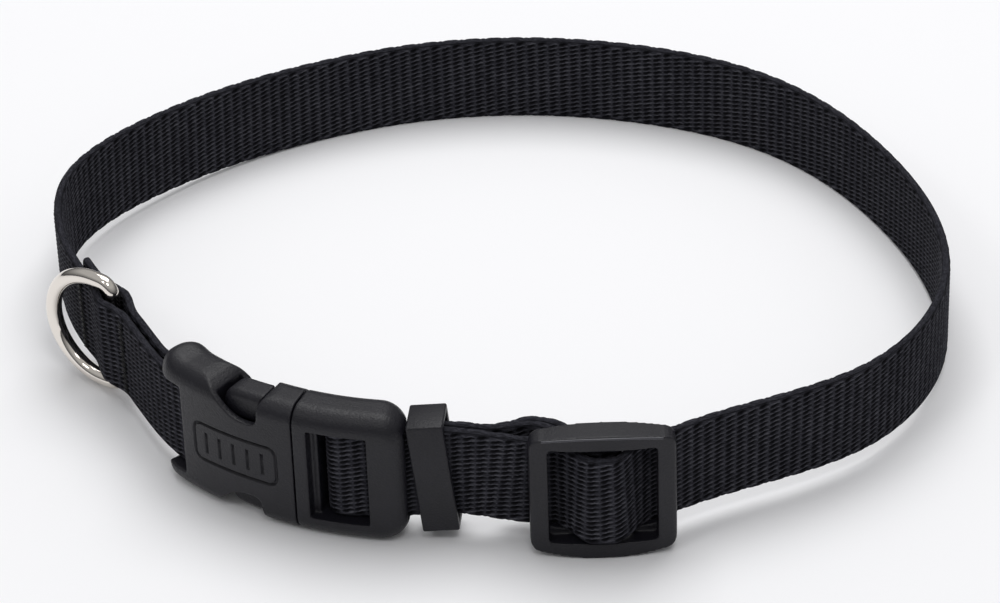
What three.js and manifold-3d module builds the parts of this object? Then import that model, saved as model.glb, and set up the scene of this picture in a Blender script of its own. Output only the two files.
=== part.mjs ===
// An adjustable dog collar: one strap of flat nylon webbing, closed by a curved side-release buckle,
// with a belt keeper, a three-bar slide that sets the length, and a metal D-ring for the lead.
// Millimetres, +Z up. The collar stands on its lower edge, seen from -Y, with the origin on the
// ground under the middle of its bounding box.

import * as THREE from 'three';
import { mergeVertices } from 'three/addons/utils/BufferGeometryUtils.js';
import Module from 'manifold-3d';

const wasm = await Module();
wasm.setup();

// Driving sizes of the loop, measured on the strap's middle
const loopWidth = 178;
const loopDepth = 156;

// Webbing
const strapWidth = 19;
const strapThickness = 1.8;
const selvedge = 0.5;
const layerGap = 0.3;
const pinchRadius = 12;

// D-ring of round wire, its bar held in a pocket of the strap
const ringInside = 20.6;
const ringWire = 2.9;
const ringCornerRadius = 2.6;
const ringArm = 1.7;
const ringSwing = 21;
const ringTail = 15;
const ringPocket = 7;
const ringPinchRadius = 4;
const ringWireSides = 12;

// Buckle, measured along its curve
const buckleHeight = 28;
const buckleThickness = 10;
const buckleRound = 3;
const buckleRadius = 65;
const socketLength = 24.8;
const plugLength = 20.9;
const seamGap = 0.3;
const plateWall = 1.5;
const barThickness = 2.2;
const barLength = 3.6;

// Buckle socket
const earReach = 7.2;
const earRound = 3.4;
const earEndRound = 2.6;
const edgeRound = 0.4;
const socketBarPlace = 2.2;
const scoopFloor = 8.2;
const mouthLength = 7;
const mouthWall = 2.2;
const badgeLength = 19;
const badgeHeight = 9;
const badgeGroove = 0.5;
const badgeGrooveDepth = 0.35;
const badgeCorner = 2;
const gripLines = 5;

// Buckle plug
const plugRim = 2.6;
const plugWindowLength = 11.2;
const plugBarPlace = 8.6;
const plugEndRound = 4.6;
const armThickness = 3;
const armDepth = 5.2;
const armHead = 1.4;
const armTipGap = 0.5;
const armTipRound = 1.5;
const armTipThin = 0.8;
const armHeel = 3;

// Keeper
const keeperLength = 7;
const keeperWall = 1.2;
const keeperClearance = 0.8;
const keeperPlace = 4.6;
const keeperLift = 0.4;
const keeperCock = 6;
const keeperSag = 1.8;
const keeperBend = 40;
const keeperRound = 0.7;

// Three-bar slide
const slideLength = 27.2;
const slideHeight = 27.6;
const slideArch = 1;
const slideCrown = 1.4;
const slideRim = 3.7;
const slideSideBar = 3.5;
const slideRail = 3.3;
const slideCorner = 3;
const slideWindowCorner = 1;
const slideTail = 20;
const slideEdge = 0.8;
const slideBoss = 1.4;
const slideFillet = 3;

// Clearance between the strap and the plastic round it
const fit = 0.35;

const radians = THREE.MathUtils.degToRad;
const halfStrap = strapThickness / 2;
const layerPitch = strapThickness + layerGap;
const turnRadius = barThickness / 2 + layerGap + halfStrap;
const barOffset = (barLength - barThickness) / 2;
const wireRadius = ringWire / 2;

// Where the hardware sits on the loop, as shares of half its width and depth, and which way it heads
const anchors = {
  ring: { x: -0.845, y: -0.292, heading: -58 },
  seam: { x: -0.425, y: -0.858, heading: -24 },
  slide: { x: 0.206, y: -0.952, heading: 0, leave: 34 },
};

// The edge of the socket's scoop, as shares of the way from the ear's root to the mouth
const scoop = { start: 0.2, leave: 0.5, arrive: 0.55, end: 0.86 };
const scoopCorner = 1.5;
const mouthCorner = 2;

// The free neck run from the slide round the back to the ring, in the same shares
const neckRun = [
  { x: 0.796, y: -0.656 },
  { x: 0.984, y: -0.244 },
  { x: 0.926, y: 0.285 },
  { x: 0.658, y: 0.755 },
  { x: 0.206, y: 0.981 },
  { x: -0.281, y: 0.956 },
  { x: -0.743, y: 0.672 },
  { x: -0.979, y: 0.266 },
];

function unit(degrees) {
  return new THREE.Vector2(Math.cos(radians(degrees)), Math.sin(radians(degrees)));
}

function onLoop({ x, y }) {
  return new THREE.Vector2((x * loopWidth) / 2, (y * loopDepth) / 2);
}

// A smooth link between two poses, its handles a third of the way across
function link(from, to) {
  const reach = from.point.distanceTo(to.point) / 3;
  return new THREE.CubicBezierCurve(
    from.point,
    from.point.clone().addScaledVector(unit(from.heading), reach),
    to.point.clone().addScaledVector(unit(to.heading), -reach),
    to.point,
  );
}

// The collar line is the middle of the strap's outer layer in plan. It starts at the ring, runs
// through buckle and slide, and comes back to the ring round the neck.
function collarLine() {
  const turned = (length) => THREE.MathUtils.radToDeg(length / buckleRadius);
  const ring = { point: onLoop(anchors.ring), heading: anchors.ring.heading };
  const centre = onLoop(anchors.seam).addScaledVector(unit(anchors.seam.heading + 90), buckleRadius);
  const onBuckle = (heading) => ({
    point: centre.clone().addScaledVector(unit(heading - 90), buckleRadius),
    heading,
  });
  const buckleStart = onBuckle(anchors.seam.heading - turned(socketLength));
  const buckleEnd = onBuckle(anchors.seam.heading + turned(seamGap + plugLength));
  const along = unit(anchors.slide.heading);
  const slideAt = (place) => ({
    point: onLoop(anchors.slide).addScaledVector(along, place),
    heading: anchors.slide.heading,
  });
  const slideStart = slideAt(-slideLength / 2);
  const slideEnd = slideAt(slideLength / 2 - slideSideBar);

  const step = 0.5;
  const points = [];
  const marks = {};
  const mark = (name) => {
    marks[name] = points.length;
  };
  const add = (curve) => {
    const pieces = Math.ceil(curve.getLength() / step);
    points.push(...curve.getSpacedPoints(pieces).slice(0, -1));
  };

  add(link(ring, buckleStart));
  mark('buckleStart');
  add(new THREE.EllipseCurve(
    centre.x, centre.y, buckleRadius, buckleRadius,
    radians(buckleStart.heading - 90), radians(buckleEnd.heading - 90),
  ));
  mark('buckleEnd');
  add(link(buckleEnd, slideStart));
  mark('slideStart');
  add(new THREE.LineCurve(slideStart.point, slideEnd.point));
  mark('slideEnd');
  const knots = [slideEnd.point, ...neckRun.map(onLoop), ring.point];
  const lead = unit(anchors.slide.leave);
  const arrival = unit(ring.heading);
  for (let i = 1; i < knots.length; i += 1) {
    const [a, b] = [knots[i - 1], knots[i]];
    const reach = a.distanceTo(b) / 3;
    const through = (j) => {
      if (j === 0) return lead;
      if (j === knots.length - 1) return arrival;
      return knots[j + 1].clone().sub(knots[j - 1]).normalize();
    };
    add(new THREE.CubicBezierCurve(
      a, a.clone().addScaledVector(through(i - 1), reach),
      b.clone().addScaledVector(through(i), -reach), b,
    ));
  }

  const count = points.length;
  const reached = [0];
  for (let i = 0; i < count; i += 1) {
    reached.push(reached[i] + points[i].distanceTo(points[(i + 1) % count]));
  }
  const length = reached[count];
  const stations = Object.fromEntries(Object.entries(marks).map(([name, i]) => [name, reached[i]]));

  // The point at distance s, and n outwards from the line
  function at(s, n = 0) {
    const place = THREE.MathUtils.euclideanModulo(s, length);
    let low = 0;
    let high = count;
    while (high - low > 1) {
      const half = (low + high) >> 1;
      if (reached[half] <= place) low = half;
      else high = half;
    }
    const share = (place - reached[low]) / (reached[low + 1] - reached[low]);
    const tangent = (i) => points[(i + 1) % count].clone().sub(points[(i + count - 1) % count]).normalize();
    const direction = tangent(low).lerp(tangent((low + 1) % count), share).normalize();
    const point = points[low].clone().lerp(points[(low + 1) % count], share);
    point.x += direction.y * n;
    point.y -= direction.x * n;
    return { point, direction };
  }
  return { length, stations, at };
}

const line = collarLine();
const { buckleStart, slideStart, slideEnd } = line.stations;
const slideMiddle = slideStart + slideLength / 2;
const plugStart = buckleStart + socketLength + seamGap;
const keeperMiddle = line.stations.buckleEnd + keeperPlace;

// The height of the strap's middle: the hardware lifts it, and the back stands on the ground
const settleFromSlide = 0.37;
const settleToBuckle = 0.33;

function middleHeight(s) {
  const place = THREE.MathUtils.euclideanModulo(s, line.length);
  const run = line.length - slideEnd;
  const down = THREE.MathUtils.smoothstep(place, slideEnd, slideEnd + settleFromSlide * run);
  const up = THREE.MathUtils.smoothstep(place, line.length - settleToBuckle * run, line.length);
  const front = THREE.MathUtils.lerp(
    buckleHeight / 2, slideHeight / 2,
    THREE.MathUtils.smoothstep(place, line.stations.buckleEnd, slideStart),
  );
  const lift = place < slideEnd ? front : Math.max(
    THREE.MathUtils.lerp(slideHeight / 2, strapWidth / 2, down),
    THREE.MathUtils.lerp(strapWidth / 2, buckleHeight / 2, up),
  );
  return lift;
}

// A closed surface through rings of points, all with the same count. Open lofts get flat ends.
function loft(rings, closed = false) {
  const sides = rings[0].length;
  const positions = [];
  const triangle = (a, b, c) => positions.push(...a.toArray(), ...b.toArray(), ...c.toArray());
  const last = closed ? rings.length : rings.length - 1;
  for (let i = 0; i < last; i += 1) {
    const [a, b] = [rings[i], rings[(i + 1) % rings.length]];
    for (let j = 0; j < sides; j += 1) {
      const k = (j + 1) % sides;
      triangle(a[j], b[k], b[j]);
      triangle(a[j], a[k], b[k]);
    }
  }
  if (!closed) {
    const end = rings.at(-1);
    for (let j = 1; j < sides - 1; j += 1) {
      triangle(rings[0][0], rings[0][j + 1], rings[0][j]);
      triangle(end[0], end[j], end[j + 1]);
    }
  }
  const geometry = new THREE.BufferGeometry();
  geometry.setAttribute('position', new THREE.Float32BufferAttribute(positions, 3));
  return geometry;
}

// Points round a rectangle with round corners, anticlockwise, as [across, up]
function roundedSection(width, height, radius, cornerPoints = 3) {
  const points = [];
  const corners = [[1, 1, 0], [-1, 1, 90], [-1, -1, 180], [1, -1, 270]];
  for (const [sideX, sideY, start] of corners) {
    for (let i = 0; i <= cornerPoints; i += 1) {
      const turn = unit(start + (90 * i) / cornerPoints);
      points.push([
        sideX * (width / 2 - radius) + radius * turn.x,
        sideY * (height / 2 - radius) + radius * turn.y,
      ]);
    }
  }
  return points;
}

// Solids and booleans
function solid(geometry) {
  const bare = new THREE.BufferGeometry();
  const flat = geometry.index ? geometry.toNonIndexed() : geometry;
  bare.setAttribute('position', flat.getAttribute('position'));
  const merged = mergeVertices(bare, 1e-4);
  return new wasm.Manifold(new wasm.Mesh({
    numProp: 3,
    vertProperties: merged.attributes.position.array,
    triVerts: new Uint32Array(merged.index.array),
  }));
}

function geometryOf(body) {
  const mesh = body.getMesh();
  const geometry = new THREE.BufferGeometry();
  geometry.setAttribute('position', new THREE.BufferAttribute(new Float32Array(mesh.vertProperties), 3));
  geometry.setIndex([...mesh.triVerts]);
  return geometry;
}

// The hardware is shaped flat: x along the strap, -y outwards, z up from the strap's middle.
// These make its blocks, cut at every few millimetres along x so that they bend smoothly.
const bendStep = 2;

function block(x, y, z) {
  const [wide, deep, high] = [x[1] - x[0], y[1] - y[0], z[1] - z[0]];
  const box = new THREE.BoxGeometry(wide, deep, high, Math.ceil(wide / bendStep), 1, 1);
  return solid(box.translate((x[0] + x[1]) / 2, (y[0] + y[1]) / 2, (z[0] + z[1]) / 2));
}

// An outline in x and z, cut through the thickness from y[0] to y[1]
function throughFront(shape, y) {
  const cut = new THREE.ExtrudeGeometry(shape, { depth: y[1] - y[0], bevelEnabled: false, curveSegments: 5 });
  return solid(cut.rotateX(Math.PI / 2).translate(0, y[1], 0));
}

// A bar across the strap with a rounded section
function crossBar(x, y, halfHeight) {
  const section = roundedSection(barLength, barThickness, barThickness / 2 - 0.01, 4);
  const ring = (z) => section.map(([across, up]) => new THREE.Vector3(x + across, y + up, z));
  return solid(loft([ring(-halfHeight), ring(halfHeight)]));
}

// Bends a flat solid round the collar line, its x = 0 at station s0
function bend(body, s0) {
  const geometry = geometryOf(body);
  const position = geometry.attributes.position;
  for (let i = 0; i < position.count; i += 1) {
    const { point } = line.at(s0 + position.getX(i), -position.getY(i));
    position.setXYZ(i, point.x, point.y, position.getZ(i) + buckleHeight / 2);
  }
  return geometry;
}

// Strap

// The strap's route is a belt round pulleys in the (s, n) plane: turn 1 goes round anticlockwise,
// -1 clockwise, and a pulley of radius 0 is an end.
function strapPulleys() {
  const slideBarY = slideBarRise();
  const windowHalf = slideLength / 2 - slideSideBar;
  const pinch = (s, radius) => ({ s, n: -layerPitch - radius, r: radius, turn: 1 });
  const underSideBar = (side, layer, turn) => ({
    s: slideMiddle + side * windowHalf, n: slideFillet, r: slideFillet + layer * layerPitch, turn,
  });
  const roundSlideBar = (side, radius, turn) => ({
    s: slideMiddle + side * barOffset, n: slideBarY, r: radius, turn,
  });
  const plugBar = plugStart + plugBarPlace;
  const socketBar = buckleStart + socketBarPlace;
  const roundRing = { s: line.length, n: -layerPitch / 2, r: wireRadius + layerGap + halfStrap, turn: -1 };
  const press = (s) => ({ s, n: ringPinchRadius, r: ringPinchRadius, turn: 1 });
  return [
    { s: slideMiddle - slideTail, n: -2 * layerPitch, r: 0, turn: 1 },
    underSideBar(-1, 2, 1),
    roundSlideBar(1, turnRadius, 1),
    roundSlideBar(-1, turnRadius, 1),
    underSideBar(-1, 1, -1),
    { s: keeperMiddle, n: -keeperSag - layerPitch - keeperBend, r: keeperBend, turn: 1 },
    { s: plugBar - barOffset, n: -turnRadius, r: turnRadius, turn: -1 },
    { s: keeperMiddle, n: keeperBend - keeperSag, r: keeperBend, turn: 1 },
    underSideBar(-1, 0, 1),
    roundSlideBar(-1, turnRadius + layerPitch, -1),
    roundSlideBar(1, turnRadius + layerPitch, -1),
    underSideBar(1, 0, 1),
    press(line.length - ringPocket),
    roundRing,
    press(line.length + ringPocket),
    { s: line.length + socketBar + barOffset, n: -turnRadius, r: turnRadius, turn: -1 },
    pinch(line.length + buckleStart - earReach - ringPocket, pinchRadius),
    pinch(line.length + ringPocket, ringPinchRadius),
    roundRing,
    pinch(line.length - ringPocket, ringPinchRadius),
    { s: line.length - ringTail, n: -layerPitch, r: 0, turn: 1 },
  ];
}

// Height of the slide's middle bar above the collar line
function slideBarRise() {
  return halfStrap + layerGap + layerGap;
}

function beltRoute(pulleys) {
  const straightStep = 3.6;
  const arcStep = radians(22);
  const arcLength = 1.6;
  const headings = [];
  for (let i = 0; i + 1 < pulleys.length; i += 1) {
    const [a, b] = [pulleys[i], pulleys[i + 1]];
    const across = Math.hypot(b.s - a.s, b.n - a.n);
    const lean = Math.asin((b.turn * b.r - a.turn * a.r) / across);
    headings.push(Math.atan2(b.n - a.n, b.s - a.s) - lean);
  }
  const touch = ({ s, n, r, turn }, heading) => [
    s + turn * r * Math.sin(heading),
    n - turn * r * Math.cos(heading),
  ];
  const route = [];
  pulleys.forEach((pulley, i) => {
    const arrive = headings[Math.max(i - 1, 0)];
    const leave = headings[Math.min(i, headings.length - 1)];
    let turned = THREE.MathUtils.euclideanModulo(pulley.turn * (leave - arrive), 2 * Math.PI);
    if (turned > 1.9 * Math.PI) turned = 0;
    const pieces = pulley.r ? Math.ceil(turned / Math.min(arcStep, arcLength / pulley.r)) : 0;
    for (let k = 0; k <= pieces; k += 1) {
      route.push(touch(pulley, arrive + pulley.turn * (pieces ? (turned * k) / pieces : 0)));
    }
    if (i + 1 < pulleys.length) {
      const [s0, n0] = route.at(-1);
      const [s1, n1] = touch(pulleys[i + 1], leave);
      const spans = Math.ceil(Math.hypot(s1 - s0, n1 - n0) / straightStep);
      for (let k = 1; k < spans; k += 1) {
        const share = k / spans;
        route.push([s0 + (s1 - s0) * share, n0 + (n1 - n0) * share]);
      }
    }
  });
  return route;
}

function webbing() {
  const route = beltRoute(strapPulleys()).map(([s, n]) => ({
    plan: line.at(s, n).point, z: middleHeight(s),
  }));
  const [flat, edge] = [halfStrap, strapWidth / 2];
  const section = [
    [-flat, -edge + selvedge], [-flat, edge - selvedge], [-flat + selvedge, edge], [flat - selvedge, edge],
    [flat, edge - selvedge], [flat, -edge + selvedge], [flat - selvedge, -edge], [-flat + selvedge, -edge],
  ];
  const rings = route.map(({ plan, z }, i) => {
    const before = route[Math.max(i - 1, 0)].plan;
    const after = route[Math.min(i + 1, route.length - 1)].plan;
    const along = after.clone().sub(before).normalize();
    return section.map(([out, up]) => (
      new THREE.Vector3(plan.x + along.y * out, plan.y - along.x * out, z + up)
    ));
  });
  return loft(rings);
}

// Buckle

const socketBayEnd = socketBarPlace + barOffset + turnRadius + halfStrap + fit;
const outFace = buckleThickness / 2 - turnRadius;
const backFace = buckleThickness / 2 + turnRadius;

// The buckle's body between two stations: a rounded section whose ends may round off over a length
function buckleBody(x, roundStart, roundEnd) {
  const stations = [];
  const length = x[1] - x[0];
  const roundSteps = [0, 0.03, 0.12, 0.3, 0.6];
  stations.push(...roundSteps.filter(() => roundStart).map((share) => share * roundStart));
  const middle = length - roundStart - roundEnd;
  const pieces = Math.ceil(middle / bendStep);
  for (let i = 0; i <= pieces; i += 1) stations.push(roundStart + (middle * i) / pieces);
  stations.push(...roundSteps.filter(() => roundEnd).map((share) => length - share * roundEnd).reverse());
  const rings = stations.map((place) => {
    const inset = (round, distance) => {
      const short = Math.max(round - distance, 0);
      return round - Math.sqrt(round ** 2 - short ** 2);
    };
    const shrink = Math.max(inset(roundStart, place), inset(roundEnd, length - place));
    const radius = Math.max(buckleRound - shrink, edgeRound);
    const section = roundedSection(buckleThickness - 2 * shrink, buckleHeight - 2 * shrink, radius);
    return section.map(([across, up]) => new THREE.Vector3(x[0] + place, across + turnRadius, up));
  });
  return solid(loft(rings));
}

// The socket seen from the front: two ears beside the strap, a scoop for thumb and finger, a full mouth
function socketOutline() {
  const [top, channel] = [buckleHeight / 2, strapWidth / 2 + fit];
  const mouthStart = socketLength - mouthLength;
  const upper = new THREE.Path();
  upper.moveTo(0, 0);
  upper.lineTo(0, channel);
  upper.lineTo(-earReach + earRound / 2, channel);
  upper.quadraticCurveTo(-earReach - earRound / 4, (top + channel) / 2, -earReach + earRound / 2, top);
  upper.lineTo(mouthStart * scoop.start, top);
  upper.bezierCurveTo(
    mouthStart * scoop.leave, top, mouthStart * scoop.arrive, scoopFloor, mouthStart * scoop.end, scoopFloor,
  );
  upper.quadraticCurveTo(mouthStart, scoopFloor, mouthStart, scoopFloor + scoopCorner);
  upper.quadraticCurveTo(mouthStart, top, mouthStart + mouthCorner, top);
  upper.lineTo(socketLength + 1, top);
  const points = upper.getPoints(7);
  const lower = points.slice(1).reverse().map(({ x, y }) => new THREE.Vector2(x, -y));
  return new THREE.Shape([...points, ...lower]);
}

// A shallow framed panel with plain grip lines
function badgeGrooves(middle) {
  const frame = roundedSection(badgeLength, badgeHeight, badgeCorner);
  const inner = roundedSection(
    badgeLength - 2 * badgeGroove, badgeHeight - 2 * badgeGroove, badgeCorner - badgeGroove,
  );
  const shape = new THREE.Shape(frame.map(([x, y]) => new THREE.Vector2(x + middle, y)));
  shape.holes.push(new THREE.Path(inner.map(([x, y]) => new THREE.Vector2(x + middle, y))));
  const depth = [-outFace - 1, -outFace + badgeGrooveDepth];
  let grooves = throughFront(shape, depth);
  const pitch = badgeLength / (gripLines + 1);
  for (let i = 1; i <= gripLines; i += 1) {
    const x = middle - badgeLength / 2 + i * pitch;
    const half = badgeGroove / 2;
    const tall = badgeHeight / 2 - 4 * badgeGroove;
    grooves = grooves.add(block([x - half, x + half], depth, [-tall, tall]));
  }
  return grooves;
}

function socket() {
  const mouthStart = socketLength - mouthLength;
  const channel = strapWidth / 2 + fit;
  const inFront = -halfStrap - fit;
  const cavityHalf = buckleHeight / 2 - mouthWall;
  const cavityBack = backFace - plateWall;
  const cavityStart = socketBayEnd + plateWall;
  const through = [-buckleThickness, 2 * buckleThickness];
  const body = buckleBody([-earReach - 1, socketLength], earEndRound, 0);
  const windowHalf = buckleHeight;
  return body
    .intersect(throughFront(socketOutline(), through))
    .subtract(block([-2 * earReach, socketBayEnd], [inFront, through[1]], [-channel, channel]))
    .subtract(block([cavityStart, socketLength + 1], [inFront, cavityBack], [-cavityHalf, cavityHalf]))
    .subtract(block([cavityStart, mouthStart], [inFront, cavityBack], [scoopFloor, windowHalf]))
    .subtract(block([cavityStart, mouthStart], [inFront, cavityBack], [-windowHalf, -scoopFloor]))
    .subtract(badgeGrooves(socketLength / 2))
    .add(crossBar(socketBarPlace, turnRadius, channel + 1));
}

// One of the plug's two sprung arms, seen from the front. Its head fills the socket's side window.
function armOutline(side) {
  const cavityHalf = buckleHeight / 2 - mouthWall;
  const outer = cavityHalf - fit;
  const inner = outer - armThickness;
  const shoulder = -seamGap - mouthLength - seamGap;
  const tip = socketBayEnd + plateWall + armTipGap - socketLength - seamGap;
  const head = outer + armHead;
  const shape = new THREE.Shape();
  shape.moveTo(plugRim / 2, side * inner);
  shape.lineTo(plugRim / 2, side * outer);
  shape.lineTo(shoulder + seamGap, side * outer);
  shape.lineTo(shoulder, side * head);
  shape.quadraticCurveTo((shoulder + tip) / 2, side * head, tip + armTipRound, side * (outer - armTipThin));
  shape.quadraticCurveTo(tip, side * (outer - armTipRound), tip, side * inner);
  shape.quadraticCurveTo(tip, side * (inner - armTipThin), tip + armTipRound, side * (inner - armTipThin));
  shape.lineTo(shoulder, side * (inner - armTipThin));
  shape.lineTo(shoulder + armHeel, side * inner);
  return shape;
}

function plug() {
  const channel = strapWidth / 2 + fit;
  const inFront = -halfStrap - fit;
  const windowEnd = plugRim + plugWindowLength;
  const through = 2 * buckleThickness;
  const armY = [turnRadius - armDepth / 2, turnRadius + armDepth / 2];
  let body = buckleBody([0, plugLength], 0, plugEndRound)
    .subtract(block([plugRim, windowEnd], [-through, through], [-channel, channel]))
    .subtract(block([windowEnd - 1, plugLength + 1], [inFront, through], [-channel, channel]))
    .add(crossBar(plugBarPlace, turnRadius, channel + 1));
  for (const side of [-1, 1]) body = body.add(throughFront(armOutline(side), armY));
  return body;
}

// Keeper

function keeper() {
  const gapIn = 2 * halfStrap + layerPitch + 2 * keeperClearance;
  const gapHigh = strapWidth + 2 * keeperClearance + keeperLength * Math.sin(radians(keeperCock));
  const middle = keeperSag + layerPitch / 2;
  const ring = (width, height, radius, length) => solid(loft([-length / 2, length / 2].map((x) => (
    roundedSection(width, height, radius).map(([across, up]) => new THREE.Vector3(x, across, up))
  ))));
  const body = ring(gapIn + 2 * keeperWall, gapHigh + 2 * keeperWall, keeperRound, keeperLength)
    .subtract(ring(gapIn, gapHigh, keeperRound / 2, keeperLength + 2));
  return { body, middle };
}

// Slide

function slideOutline(halfLength, halfHeight, corner, arch) {
  const shape = new THREE.Shape();
  const side = halfHeight - arch;
  shape.moveTo(-halfLength + corner, -side);
  shape.quadraticCurveTo(0, -halfHeight - arch, halfLength - corner, -side);
  shape.quadraticCurveTo(halfLength, -side, halfLength, -side + corner);
  shape.lineTo(halfLength, side - corner);
  shape.quadraticCurveTo(halfLength, side, halfLength - corner, side);
  shape.quadraticCurveTo(0, halfHeight + arch, -halfLength + corner, side);
  shape.quadraticCurveTo(-halfLength, side, -halfLength, side - corner);
  shape.lineTo(-halfLength, -side + corner);
  shape.quadraticCurveTo(-halfLength, -side, -halfLength + corner, -side);
  return shape;
}

function slide() {
  const half = slideLength / 2;
  const back = -halfStrap - layerGap;
  const front = back - slideRim;
  const plan = new THREE.Shape();
  plan.moveTo(-half, back - slideEdge);
  plan.quadraticCurveTo(-half, back, -half + slideEdge, back);
  plan.lineTo(half - slideEdge, back);
  plan.quadraticCurveTo(half, back, half, back - slideEdge);
  plan.lineTo(half, front + slideEdge);
  plan.quadraticCurveTo(half, front, half - slideEdge, front);
  plan.quadraticCurveTo(0, front - 2 * slideCrown, -half + slideEdge, front);
  plan.quadraticCurveTo(-half, front, -half, front + slideEdge);
  const tall = 2 * slideHeight;
  const slab = new THREE.ExtrudeGeometry(plan, { depth: tall, bevelEnabled: false, curveSegments: 10 });
  const windowHalf = half - slideSideBar;
  const windowHigh = slideHeight / 2 - slideRail;
  const through = [-slideLength, slideLength];
  const barY = -slideBarRise();
  const bossHalf = barLength / 2 + slideBoss;
  const boss = (side) => block(
    [-bossHalf, bossHalf], [front, barY + barThickness / 2],
    side > 0 ? [windowHigh, windowHigh + slideRail / 2] : [-windowHigh - slideRail / 2, -windowHigh],
  );
  return solid(slab.translate(0, 0, -tall / 2))
    .intersect(throughFront(slideOutline(half, slideHeight / 2, slideCorner, slideArch), through))
    .subtract(throughFront(slideOutline(windowHalf, windowHigh, slideWindowCorner, 0), through))
    .add(boss(1))
    .add(boss(-1))
    .add(crossBar(0, barY, windowHigh + 1));
}

// D-ring, drawn with its bar on the z axis and its bow towards +x

function ringLine() {
  const half = ringInside / 2 + wireRadius;
  const start = ringCornerRadius + ringArm;
  const path = new THREE.Path();
  path.moveTo(0, -half + ringCornerRadius);
  path.lineTo(0, half - ringCornerRadius);
  path.absarc(ringCornerRadius, half - ringCornerRadius, ringCornerRadius, Math.PI, Math.PI / 2, true);
  path.lineTo(start, half);
  path.absarc(start, 0, half, Math.PI / 2, -Math.PI / 2, true);
  path.lineTo(ringCornerRadius, -half);
  path.absarc(ringCornerRadius, -half + ringCornerRadius, ringCornerRadius, -Math.PI / 2, -Math.PI, true);
  return path;
}

function dRing() {
  const path = ringLine();
  const steps = 64;
  const rings = [];
  for (let i = 0; i < steps; i += 1) {
    const point = path.getPointAt(i / steps);
    const tangent = path.getTangentAt(i / steps);
    const ring = [];
    for (let k = 0; k < ringWireSides; k += 1) {
      const turn = unit((360 * k) / ringWireSides).multiplyScalar(wireRadius);
      ring.push(new THREE.Vector3(point.x + tangent.y * turn.x, turn.y, point.y - tangent.x * turn.x));
    }
    rings.push(ring);
  }
  return loft(rings, true);
}

// Assembly

const nylon = new THREE.MeshStandardMaterial({ color: 0x1b1b1e, roughness: 0.85, metalness: 0 });
const acetal = new THREE.MeshStandardMaterial({ color: 0x2b2b2d, roughness: 0.5, metalness: 0 });
const nickel = new THREE.MeshStandardMaterial({ color: 0xd8d4cc, roughness: 0.12, metalness: 1 });

const collar = new THREE.Group();

function addPiece(name, geometry, material, parent = collar) {
  const mesh = new THREE.Mesh(geometry, material);
  mesh.name = name;
  parent.add(mesh);
  return mesh;
}

// A rigid piece seated on the collar line, its own x axis along the strap
function seat(s, n) {
  const { point, direction } = line.at(s, n);
  const frame = new THREE.Group();
  frame.position.set(point.x, point.y, middleHeight(s));
  frame.rotation.z = Math.atan2(direction.y, direction.x);
  collar.add(frame);
  return frame;
}

addPiece('webbing_strap', webbing(), nylon);
addPiece('buckle_socket', bend(socket(), buckleStart), acetal);
addPiece('buckle_plug', bend(plug(), plugStart), acetal);

const loop = keeper();
const keeperSeat = seat(keeperMiddle, -loop.middle);
const keeperMesh = addPiece('keeper', geometryOf(loop.body), acetal, keeperSeat);
keeperMesh.rotation.y = -radians(keeperCock);
keeperMesh.position.z = keeperLift;

addPiece('slide_adjuster', geometryOf(slide()), acetal, seat(slideMiddle, 0));

const ringSeat = seat(0, -layerPitch / 2);
addPiece('d_ring', dRing(), nickel, ringSeat).rotation.z = Math.PI + radians(ringSwing);

// The origin goes to the ground under the middle of the whole collar
collar.updateMatrixWorld(true);
const extent = new THREE.Box3().setFromObject(collar, true);
collar.position.set(-(extent.min.x + extent.max.x) / 2, -(extent.min.y + extent.max.y) / 2, -extent.min.z);

export default collar;
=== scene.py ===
import math

import bmesh
import bpy
from mathutils import Matrix, Vector


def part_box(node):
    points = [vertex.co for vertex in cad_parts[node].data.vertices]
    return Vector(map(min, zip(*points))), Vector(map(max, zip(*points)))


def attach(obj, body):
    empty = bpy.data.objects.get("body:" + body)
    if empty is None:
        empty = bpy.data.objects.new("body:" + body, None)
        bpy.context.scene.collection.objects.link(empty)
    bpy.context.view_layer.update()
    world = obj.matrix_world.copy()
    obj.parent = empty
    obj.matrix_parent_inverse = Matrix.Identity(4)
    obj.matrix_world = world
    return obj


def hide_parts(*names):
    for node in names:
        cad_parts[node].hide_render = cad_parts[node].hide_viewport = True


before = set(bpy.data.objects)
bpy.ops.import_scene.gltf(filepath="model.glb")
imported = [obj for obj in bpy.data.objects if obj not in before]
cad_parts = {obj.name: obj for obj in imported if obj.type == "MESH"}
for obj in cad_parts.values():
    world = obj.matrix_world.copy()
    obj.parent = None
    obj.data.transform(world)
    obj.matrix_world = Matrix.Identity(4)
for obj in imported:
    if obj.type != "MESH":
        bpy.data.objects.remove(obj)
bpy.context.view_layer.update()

mm = 0.001


# Strap
# One length of black nylon webbing, 19 mm wide, woven as a rib: yarns rise in short leaning floats,
# each column shifted half a float from the next. It is woven flat here and bent along its own route.

strap_width = 19 * mm
strap_thickness = 1.8 * mm
cloth_width = 18.2 * mm
float_edge = 9.05 * mm
roll_edge = 9.3 * mm
weft_pitch = 2.3 * mm
yarn_rows = 18
columns = 8
face_depth = 0.76 * mm
float_rise = 0.15 * mm
float_lean = 0.16 * mm
weld = 0.02 * mm


def deselect():
    if bpy.context.object and bpy.context.object.mode != "OBJECT":
        bpy.ops.object.mode_set(mode="OBJECT")
    bpy.ops.object.select_all(action="DESELECT")


def settle(name):
    """Names the object just added and puts its place and size into its mesh."""
    piece = bpy.context.object
    piece.name = name
    piece.data.name = name
    bpy.ops.object.transform_apply(location=True, rotation=True, scale=True)
    return piece


def edit(piece, mode="VERT"):
    take(piece)
    bpy.ops.object.mode_set(mode="EDIT")
    bpy.ops.mesh.select_mode(type=mode)
    bpy.ops.mesh.select_all(action="DESELECT")


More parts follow.
